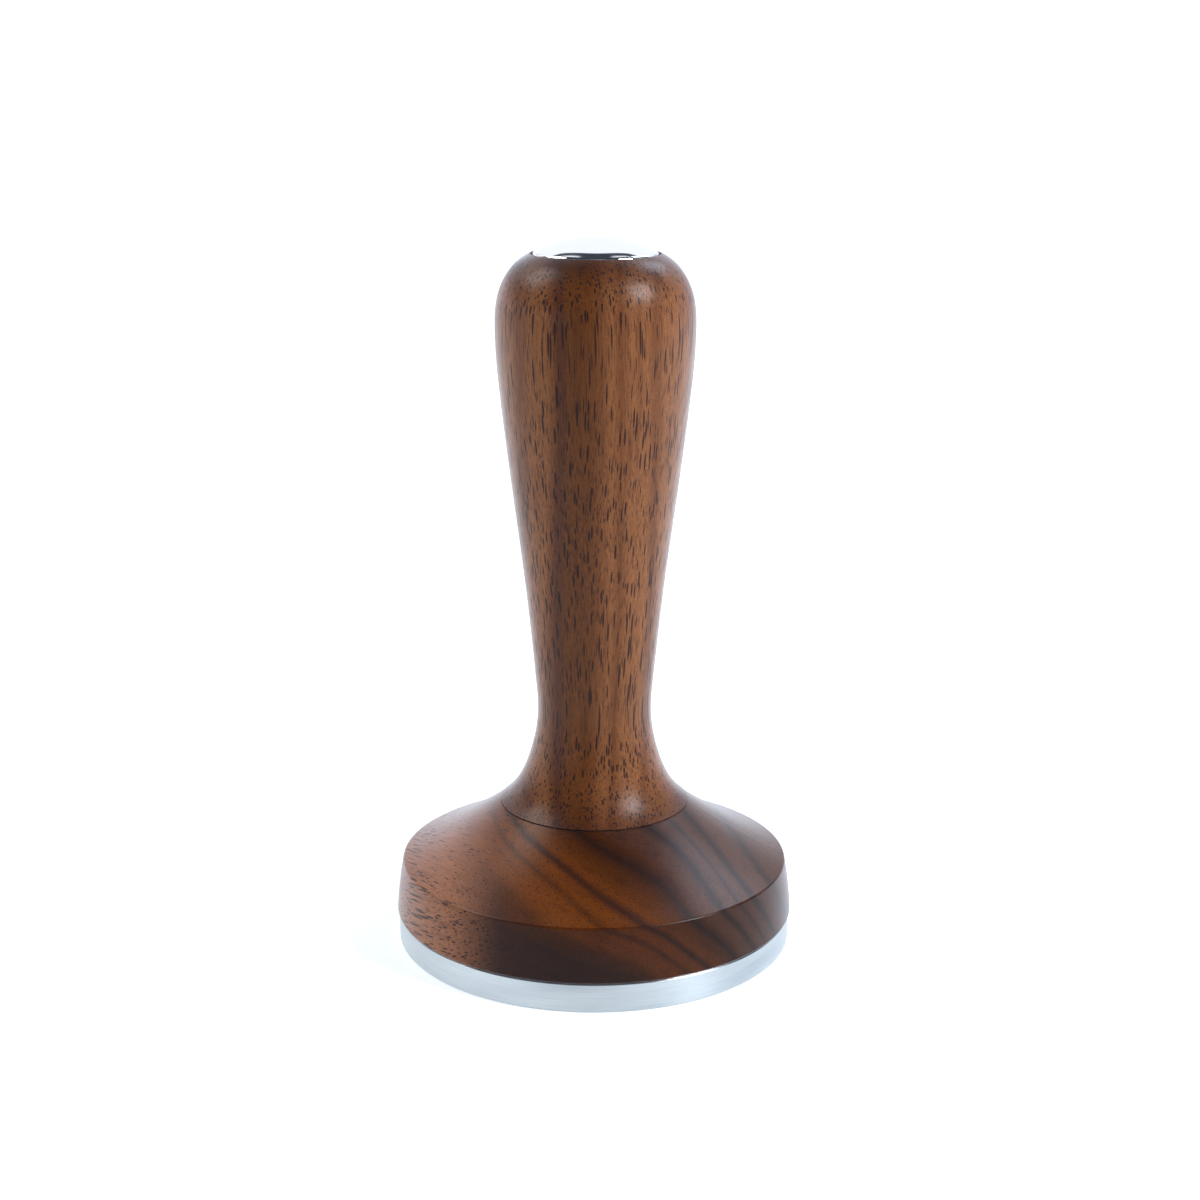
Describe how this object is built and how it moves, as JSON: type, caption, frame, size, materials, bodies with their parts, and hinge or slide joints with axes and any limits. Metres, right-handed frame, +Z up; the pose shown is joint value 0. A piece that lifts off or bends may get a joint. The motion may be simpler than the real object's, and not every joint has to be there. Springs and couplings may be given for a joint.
{
  "type": "espresso tamper",
  "caption": "Hand tamper for ground coffee: flat steel piston plate, turned walnut disc, waisted walnut handle that unscrews, and a domed metal cap in its head.",
  "frame": {"origin": "centre of the flat tamping face on the underside of the steel plate", "axes": "+Z up along the turning axis, from the plate to the cap; +X and +Y are level, and the object is turned about +Z"},
  "size_m": [0.0584, 0.0584, 0.103],
  "materials": {
    "brushed_steel": "stainless steel, brushed round the rim",
    "polished_steel": "stainless steel, mirror polished",
    "plated_steel": "zinc plated, satin",
    "brass": "turned",
    "walnut_handle": "black walnut, long grain, satin oil",
    "walnut_disc": "black walnut, level grain, satin oil",
    "nylon": "natural nylon",
    "rubber": "matt black"
  },
  "bodies": {
    "base": {"base_plate": "brushed_steel", "locating_pins": "plated_steel", "wood_disc": "walnut_disc", "clamp_washer": "plated_steel", "spring_washer": "plated_steel", "clamp_nut": "plated_steel", "centre_stud": "plated_steel"},
    "foot_ring": {"foot_washer": "nylon"},
    "grip": {"handle": "walnut_handle", "foot_insert": "brass", "head_insert": "brass"},
    "seal_ring": {"cap_seal": "rubber"},
    "cap": {"top_cap": "polished_steel"}
  },
  "joints": [
    {"name": "handle_lift", "type": "slide", "parent": "base", "child": "foot_ring", "axis": [0, 0, 1], "range_m": [0, 0.0113]},
    {"name": "handle_turn", "type": "hinge", "parent": "foot_ring", "child": "grip", "pos_m": [0, 0, 0.0209], "axis": [0, 0, 1], "range_deg": [0, 3240]},
    {"name": "cap_lift", "type": "slide", "parent": "grip", "child": "seal_ring", "axis": [0, 0, 1], "range_m": [0, 0.0063]},
    {"name": "cap_turn", "type": "hinge", "parent": "seal_ring", "child": "cap", "pos_m": [0, 0, 0.098], "axis": [0, 0, 1], "range_deg": [0, 1800]}
  ],
  "couplings": [
    {"joint": "handle_lift", "follows": "handle_turn", "m_per_rad": 0.00019894},
    {"joint": "cap_lift", "follows": "cap_turn", "m_per_rad": 0.00019894}
  ]
}
